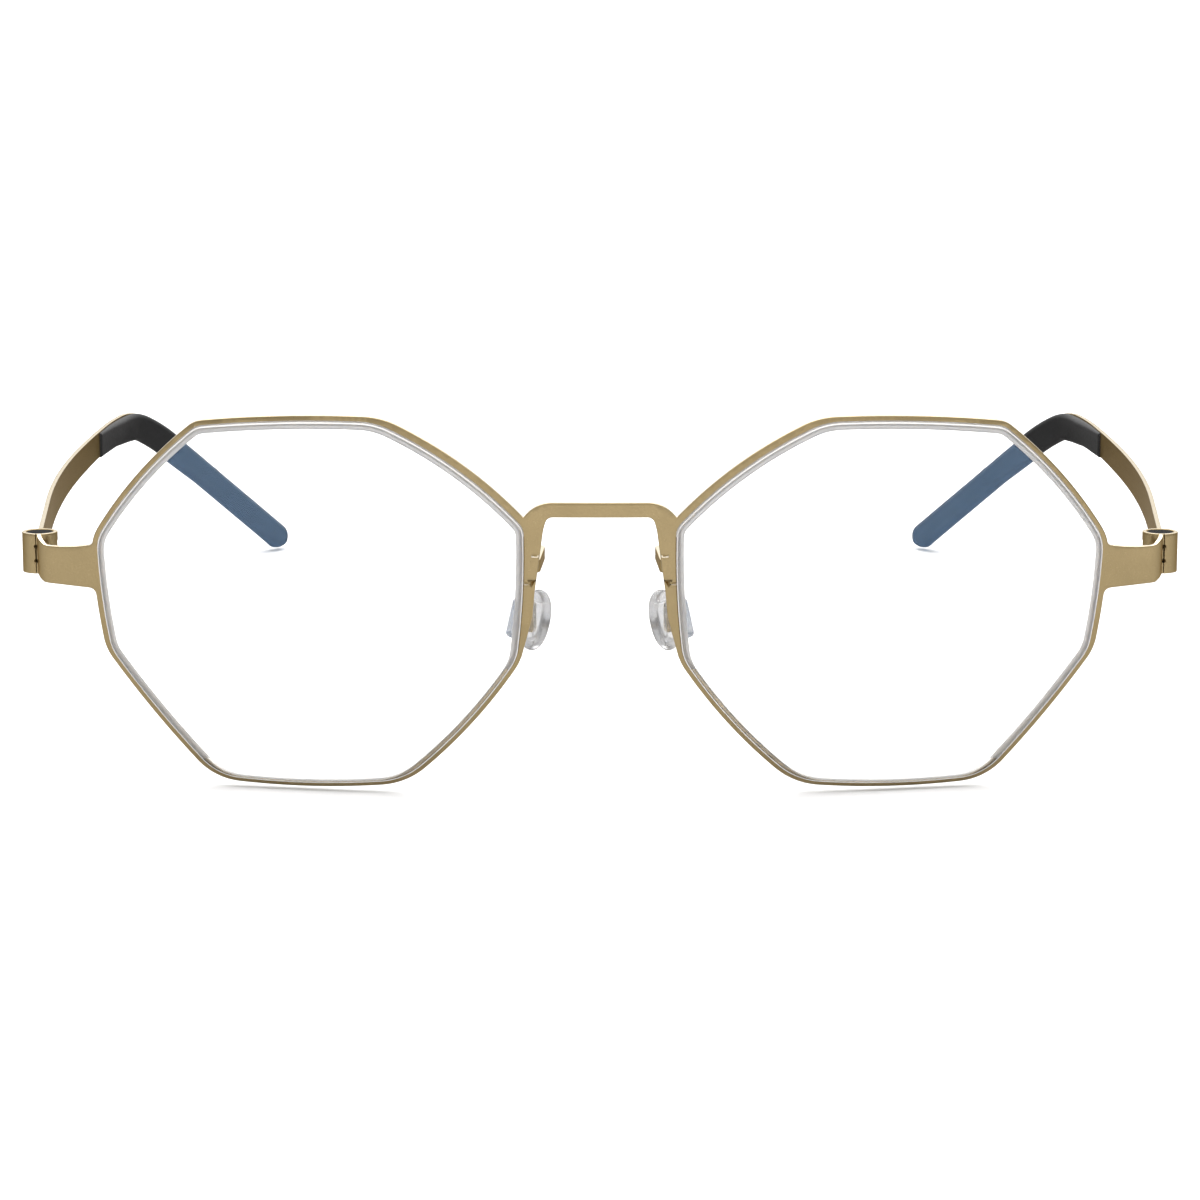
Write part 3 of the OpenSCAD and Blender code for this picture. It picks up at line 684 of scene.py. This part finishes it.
def lens_mesh(side):
    lip = (LENS_T - SHEET) / 2
    back = LENS_T - lip
    floor_at = [-depth for depth in GROOVE_AT]
    rings = [(k, 0.0, -lip) for k in FACE]
    rings += [(1, -0.24, -lip), (1, -0.1, -lip + 0.14), (1, 0.0, -PLAY), (1, floor_at, -PLAY),
              (1, floor_at, SHEET + PLAY), (1, 0.0, SHEET + PLAY), (1, 0.0, back - 0.16),
              (1, -0.2, back)]
    rings += [(k, 0.0, back) for k in reversed(FACE)]
    middle = Vector((LENS_X, -DROP))
    bm = bmesh.new()
    last = None
    for strip, (k, shift, deep) in enumerate(rings):
        flat = [middle + (p - middle) * k for p in outline(shift)] if k else [middle]
        now = [bm.verts.new(row(tilted(dome(side * p.x, p.y, deep)))) for p in flat]
        if last:
            n = max(len(last), len(now))
            for i in range(n):
                j = (i + 1) % n
                quad = [last[i % len(last)], last[j % len(last)],
                        now[j % len(now)], now[i % len(now)]]
                face = bm.faces.new(list(dict.fromkeys(quad)))
                face.material_index = FINISHES[i * 8 // n].get(strip, CLEAR)
        last = now
    return finished(bm, "lens")


for side, name in SIDES:
    lens = show(name + "_lens_glass", lens_mesh(side), "frame", [name + "_lens"],
                (glass, ground, wheel_cut, lip_painted_shade, ground_wall), 25)
print("lens faces:", len(lens.data.polygons))

# %% [markdown]
# ## Temples and sleeves
# Both follow one path: straight at the hinge, bowed out, then bent in and down behind the ear.
# A station of the path is its point, its yaw and pitch in degrees, and the length up to it.

# %% The path of a temple
BOW, EASE, EAR = 45, 25, (9.8, 3.6, 3.5, 4.8)
# Length, turn in yaw, turn in pitch and number of steps of each run
RUNS = ((TEMPLE_LEN - TIP_LEN - BOW - EASE - sum(EAR), 0, 0, 30), (BOW, -6.4, 0, 50),
        (EASE, -2, 0, 26), (EAR[0], -5.5, 0, 14), (EAR[1], -0.3 * EAR_YAW, 0, 12),
        (EAR[2], -0.7 * EAR_YAW, -0.725 * EAR_BEND, 16), (EAR[3], 0, -0.275 * EAR_BEND, 14),
        (TIP_LEN - 2, 0, 0, 30), (2, 0, 0, 16))


def onward(yaw, pitch):
    a, b = rad(yaw), rad(pitch)
    return Vector((math.sin(a) * math.cos(b), math.cos(a) * math.cos(b), math.sin(b)))


def across(st):
    return Vector((math.cos(rad(st[1])), -math.sin(rad(st[1])), 0))


def upward(st):
    a, b = rad(st[1]), rad(st[2])
    return Vector((-math.sin(a) * math.sin(b), -math.cos(a) * math.sin(b), math.cos(b)))


path = [(Vector((HINGE_X, HINGE_Y, 0)), LEAN, 0.0, 0.0)]
for length, yaw_turn, pitch_turn, n in RUNS:
    for k in range(n):
        p, yaw, pitch, s = path[-1]
        step = onward(yaw + yaw_turn / n / 2, pitch + pitch_turn / n / 2) * length / n
        path.append((p + step, yaw + yaw_turn / n, pitch + pitch_turn / n, s + length / n))


def station_at(s):
    """The path station nearest before s, moved to exactly s."""
    st = max((q for q in path if q[3] <= s + 1e-9), key=lambda q: q[3])
    return (st[0] + onward(st[1], st[2]) * (s - st[3]), st[1], st[2], s)


def section(x0, x1, z0, z1, r, n):
    """Rounded rectangle, as (across, up) pairs."""
    out = []
    corners = ((x1 - r, z1 - r), (x1 - r, z0 + r), (x0 + r, z0 + r), (x0 + r, z1 - r))
    for q, (cx, cz) in enumerate(corners):
        for k in range(n + 1):
            a = rad(90 - 90 * q - 90 * k / n)
            out.append((cx + r * math.cos(a), cz + r * math.sin(a)))
    return out


def swept(name, stations, side, edge_above=None):
    """Mesh through rounded sections: each station is (path station, section).  Faces whose
    outward side leans up or down by more than edge_above take the second material, a paler
    gold that paints a highlight on them."""
    bm = bmesh.new()
    last = None
    for st, sec in stations:
        o, u = across(st), upward(st)
        now = []
        for x, z in sec:
            p = st[0] + o * x + u * z
            now.append(bm.verts.new(row((side * p.x, p.y, p.z))))
        if last:
            for i in range(len(now)):
                j = (i + 1) % len(now)
                bm.faces.new((last[i], last[j], now[j], now[i]))
        else:
            bm.faces.new(now[::-1])
        last = now
    bm.faces.new(last)
    if edge_above:
        for f in bm.faces:
            f.normal_update()
            f.material_index = 1 if abs(f.normal.z) > edge_above else 0
    return finished(bm, name)


print("path:", len(path), "stations, tip at", tuple(round(v, 1) for v in path[-1][0]))

# %% [markdown]
# The strip is narrow in the barrel's window, then full, and tapers towards the ear.  Under the
# sleeve it narrows to a tang.  A knuckle turns in the barrel.

# %% The temple strips
TOP = TEMPLE_H / 2
SLEEVE_FROM = TEMPLE_LEN - SLEEVE_LEN
WRAP_FROM, WRAP_LEN = 20, 14            # where the sleeve begins to wrap round, and over how much
TANG_H = 2.2
HALF_T = TEMPLE_T / 2
STRIP_EDGE = 0.08
KNUCKLE_R, KNUCKLE_H = BARREL_R - SHEET - 0.3, 3.8


def ramp(a, b, f):
    return a + (b - a) * min(1.0, max(0.0, f))


def wrap(s):
    """0 where the sleeve covers only the inner face, 1 where it is all round."""
    return min(1.0, max(0.0, (s - SLEEVE_FROM - WRAP_FROM) / WRAP_LEN))


def strip_ends(s):
    thin = (TEMPLE_BACK - TANG_H) / 2 * wrap(s + 1)
    return TOP - thin, TOP - ramp(TEMPLE_H, TEMPLE_BACK, s / SLEEVE_FROM) + thin


def strip_section(low, high, shrink=0.0):
    return section(-HALF_T + shrink, HALF_T - shrink, low + shrink, high - shrink, STRIP_EDGE, 3)


neck = [(station_at(s), strip_section(-NECK_H / 2, NECK_H / 2)) for s in (1.2, 2.2, 2.6)]
full = [(station_at(s), strip_section(strip_ends(s)[1], TOP, g))
        for s, g in ((2.62, 0.06), (2.68, 0.0), (3.2, 0.0))]
rest = [(st, strip_section(*strip_ends(st[3])[::-1]))
        for st in path if 3.4 < st[3] < TEMPLE_LEN - 5]
for side, name in SIDES:
    # the upper and lower faces of the strip take the paler gold as a painted highlight
    mesh = swept(name + "_temple_strip", neck + full + rest, side, 0.3)
    weighted(show(name + "_temple_strip", mesh, name + "_arm", [name + "_temple"],
                  (gold, painted_edge_highlight)))
    bpy.ops.mesh.primitive_cylinder_add(vertices=48, radius=KNUCKLE_R / 1000,
                                        depth=KNUCKLE_H / 1000)
    knuckle = bpy.context.object
    knuckle.name = name + "_knuckle"
    for v in knuckle.data.vertices:
        x, y, z = v.co * 1000
        v.co = row((side * HINGE_X + x, HINGE_Y + y, z))
    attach(knuckle, name + "_arm")
    knuckle.data.materials.append(gold)
print("strip faces:", len(mesh.polygons))

# %% [markdown]
# The sleeve is thin on the inner face at its front end, grows thicker, wraps round the strip and
# ends in a rounded tip.  Its lower edge swells a little before it wraps.

# %% The sleeves
SWELL, SWELL_FROM, SWELL_LEN = 0.45, 11, 26
START_IN = 0.35                         # its thickness at the front end


def sleeve_ends(s):
    w = wrap(s)
    taller = (TIP_H - TEMPLE_BACK) / 2
    swell = math.sin(math.pi * ramp(0.0, 1.0, (s - SLEEVE_FROM - SWELL_FROM) / SWELL_LEN))
    return TOP + ramp(-0.2, taller, w), TOP - TEMPLE_BACK - ramp(0.1, taller, w) - SWELL * swell


def sleeve_section(s, shrink=0.0):
    hi, lo = sleeve_ends(s)
    x1 = HALF_T + ramp(-0.1, SLEEVE_OUT, wrap(s))
    x0 = -(HALF_T + ramp(START_IN, SLEEVE_IN, (s - SLEEVE_FROM) / WRAP_LEN))
    left = (TEMPLE_LEN - s) / (TIP_H / 2)
    tip = 1.0 if left >= 1 else math.sqrt(max(0.0004, 1 - (1 - left) ** 2))
    mx, mz = (x0 + x1) / 2, (hi + lo) / 2
    hx, hz = (x1 - x0) / 2 * ramp(0.55, 1, tip) - shrink, (hi - lo) / 2 * tip - shrink
    return section(mx - hx, mx + hx, mz - hz, mz + hz, 0.9 * min(hx, hz), 7)


sleeve_path = [(station_at(SLEEVE_FROM + d), sleeve_section(SLEEVE_FROM + d, g))
               for d, g in ((0.0, 0.14), (0.05, 0.05), (0.15, 0.0))]
sleeve_path += [(st, sleeve_section(st[3])) for st in path if st[3] > SLEEVE_FROM + 0.3]
for side, name in SIDES:
    mesh = swept(name + "_sleeve_rubber", sleeve_path, side)
    show(name + "_sleeve_rubber", mesh, name + "_arm", [name + "_sleeve"],
         (black,), 50)
print("sleeve faces:", len(mesh.polygons))

# %% [markdown]
# ## Pads and pins
# A pad is a soft oval plate with a block behind it that grips the leg of its arm.  The two are
# drawn fine, joined by a remesh and smoothed.  The pins keep the CAD part's own meshes.

# %% Pads and pins
PAD_H, PAD_W, PAD_T, PAD_LEAN, BLOCK_H = 7.7, 5.1, 1.9, 16.0, 3.8
PAD_UP, PLATE_BACK, PLATE_POWER = 0.6, 0.85, 2.3
BLOCK_EDGE = ((-0.8, 0.6), (1.5, 0.6), (1.7, 0.52), (1.8, 0.35))  # out, and the corner's radius


def leg_point(side, a, b, c):
    """A point in the leg's own axes: along the plate, up, and out of the plate."""
    turn_by, lean = rad(SPLAY + DRIFT), rad(-PAD_LEAN)
    u, w = b * math.cos(lean) - c * math.sin(lean), b * math.sin(lean) + c * math.cos(lean)
    u += PAD_UP - PAD_DROP
    a += LEG_MID
    # the second bend, then the leg, then the run back and the drift
    c, s = math.cos(turn_by), math.sin(turn_by)
    x, y = ARM_R - ARM_R * c, ARM_R * s
    x, y = x + w * c + a * s, y - w * s + a * c
    x, y = drifted(x, y + (ARM_REACH - ARM_R))
    return row(tilted((side * (ARM_X + x), ARM_Y + ARM_R + y, ARM_Z + u)))


def plate_points(side):
    """A flattened ball whose outline is a superellipse."""
    for i in range(72):
        for j in range(25):
            a, b = rad(i * 5), rad(-90 + j * 7.5)
            c, d = math.cos(a), math.sin(a)
            r = math.cos(b) / (abs(c) ** PLATE_POWER + abs(d) ** PLATE_POWER) ** (1 / PLATE_POWER)
            yield leg_point(side, c * r * PAD_W / 2, d * r * PAD_H / 2,
                            math.sin(b) * 0.6 * PAD_T - PLATE_BACK)


def block_points(side):
    """Four rounded corners, drawn in towards the back."""
    for a in (rad(i * 15) for i in range(24)):
        for x, z in ((x, z) for x in (-1.5, 1.5) for z in (-BLOCK_H / 2, BLOCK_H / 2)):
            for out, r in BLOCK_EDGE:
                yield leg_point(side, x + r * math.cos(a), z + r * math.sin(a), out)


for side, name in SIDES:
    bm = bmesh.new()
    for cloud in (plate_points(side), block_points(side)):
        bmesh.ops.convex_hull(bm, input=[bm.verts.new(p) for p in cloud])
    bmesh.ops.delete(bm, geom=[q for q in bm.verts if not q.link_faces], context="VERTS")
    pad = show(name + "_pad_silicone", finished(bm, name + "_pad"), "frame",
               [name + "_nose_pad"], (clear_pad,), 180)
    m = pad.modifiers.new("one_skin", "REMESH")
    m.mode, m.voxel_size, m.use_smooth_shade = "VOXEL", 0.00009, True
    m = pad.modifiers.new("smooth", "SMOOTH")
    m.factor, m.iterations = 0.5, 10
    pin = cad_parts[name + "_hinge_pin"]
    pin.data.materials.clear()
    pin.data.materials.append(pin_grey)
    m = pin.modifiers.new("edge", "BEVEL")
    m.width, m.segments, m.limit_method, m.angle_limit = 0.00012, 3, "ANGLE", rad(60)
print("pads and pins dressed")

# %% [markdown]
# ## Studio
# A pale floor, a soft overhead light and a bright surround.  The floor is darker in what the
# metal mirrors, most of all under and behind the eyeglasses, so the gold keeps its depth.

# %% The floor
bpy.ops.mesh.primitive_plane_add(size=3.0, location=(0, 0.3, -0.0004))
floor = bpy.context.object
floor.name = "studio_floor"
white = bpy.data.materials.new("studio_white")
white.use_nodes = True
nt = white.node_tree
shader = nt.nodes["Principled BSDF"]
shader.inputs["Roughness"].default_value = 0.8
ray = nt.nodes.new("ShaderNodeLightPath")
split = nt.nodes.new("ShaderNodeSeparateXYZ")
nt.links.new(nt.nodes.new("ShaderNodeTexCoord").outputs["Object"], split.inputs[0])
behind = remap(nt, split.outputs["Y"], 0.0, 1.0, -0.5, -0.2)
mirror = maths(nt, "SUBTRACT", ray.outputs["Is Glossy Ray"], ray.outputs["Is Transmission Ray"],
               clamp=True)
seen_as = mixed(nt, behind, (0.68, 0.68, 0.68, 1), (0.13, 0.125, 0.12, 1))
tone = mixed(nt, mirror, (0.9, 0.9, 0.9, 1), seen_as)
nt.links.new(tone, shader.inputs["Base Color"])
floor.data.materials.append(white)
print("floor:", tuple(floor.dimensions))

# %% [markdown]
# The world is dark round the sides and brighter above, with a glow behind the eyeglasses.  It is
# plain white to the camera, and to what the camera sees through the lenses.

# %% The world
world = bpy.data.worlds.new("studio")
bpy.context.scene.world = world
world.use_nodes = True
t = world.node_tree
t.nodes.clear()
split = t.nodes.new("ShaderNodeSeparateXYZ")
t.links.new(t.nodes.new("ShaderNodeTexCoord").outputs["Generated"], split.inputs[0])
climb = t.nodes.new("ShaderNodeValToRGB")
side_tone, top_tone = climb.color_ramp.elements
side_tone.position, side_tone.color = 0.0, (0.16, 0.155, 0.15, 1)
top_tone.position, top_tone.color = 0.8, (1.0, 1.0, 1.0, 1)
t.links.new(split.outputs["Z"], climb.inputs["Fac"])
glow = maths(t, "MULTIPLY", remap(t, split.outputs["Y"], 0.0, 1.0, 0.2, 0.6),
             remap(t, split.outputs["Z"], 0.0, 1.0, 0.02, 0.16))
around = t.nodes.new("ShaderNodeBackground")
t.links.new(mixed(t, glow, climb.outputs["Color"], (1.45, 1.45, 1.45, 1)), around.inputs["Color"])
plain = t.nodes.new("ShaderNodeBackground")
plain.inputs["Color"].default_value = (1, 1, 1, 1)
ray = t.nodes.new("ShaderNodeLightPath")
through = maths(t, "MULTIPLY", ray.outputs["Is Transmission Ray"],
                remap(t, split.outputs["Y"], 0.0, 1.0, 0.7, 0.88))
pick = t.nodes.new("ShaderNodeMixShader")
t.links.new(maths(t, "MAXIMUM", ray.outputs["Is Camera Ray"], through), pick.inputs["Fac"])
t.links.new(around.outputs[0], pick.inputs[1])
t.links.new(plain.outputs[0], pick.inputs[2])
t.links.new(pick.outputs[0], t.nodes.new("ShaderNodeOutputWorld").inputs["Surface"])
print("world nodes:", len(t.nodes))

# %% [markdown]
# One large soft light overhead does most of the work, and a small one fills in from the front.


# %% The lights
def area(name, at, to, size, power):
    d = bpy.data.lights.new(name, "AREA")
    d.shape, d.size, d.size_y, d.energy = "RECTANGLE", size[0], size[1], power
    o = bpy.data.objects.new(name, d)
    o.location = at
    o.rotation_euler = (Vector(to) - Vector(at)).to_track_quat("-Z", "Y").to_euler()
    bpy.context.scene.collection.objects.link(o)


area("overhead", (0, 0.45, 2.0), (0, 0.3, 0), (2.6, 2.6), 62)
area("front_fill", (0.1, -1.0, 0.45), (0, 0, 0.03), (0.8, 0.5), 1.5)

# %% [markdown]
# The camera stands where the photograph was taken from: in front, a little above and looking
# down.  Its focal length is given in the photograph's own pixels.

# %% The camera
CAMERA_BACK, CAMERA_UP, LOOK_DOWN = 454.5, 82.0, 10.68
FOCAL_PX, FRAME_PX, SENSOR = 3813.0, 1200, 36.0
scene = bpy.context.scene
cam_data = bpy.data.cameras.new("camera")
cam = bpy.data.objects.new("camera", cam_data)
scene.collection.objects.link(cam)
scene.camera = cam
cam.location = row((0, -CAMERA_BACK, CAMERA_UP))
cam.rotation_euler = (math.pi / 2 - rad(LOOK_DOWN + STAND_TILT), 0, 0)
cam_data.sensor_width, cam_data.lens = SENSOR, FOCAL_PX / FRAME_PX * SENSOR
cam_data.clip_start, cam_data.clip_end = 0.01, 20
scene.view_settings.view_transform = "Standard"
scene.render.engine = "CYCLES"
scene.cycles.samples = 64
scene.cycles.use_denoising = True
scene.cycles.transmission_bounces = 16
scene.cycles.max_bounces = 20
print("camera at", tuple(round(v, 3) for v in cam.location))
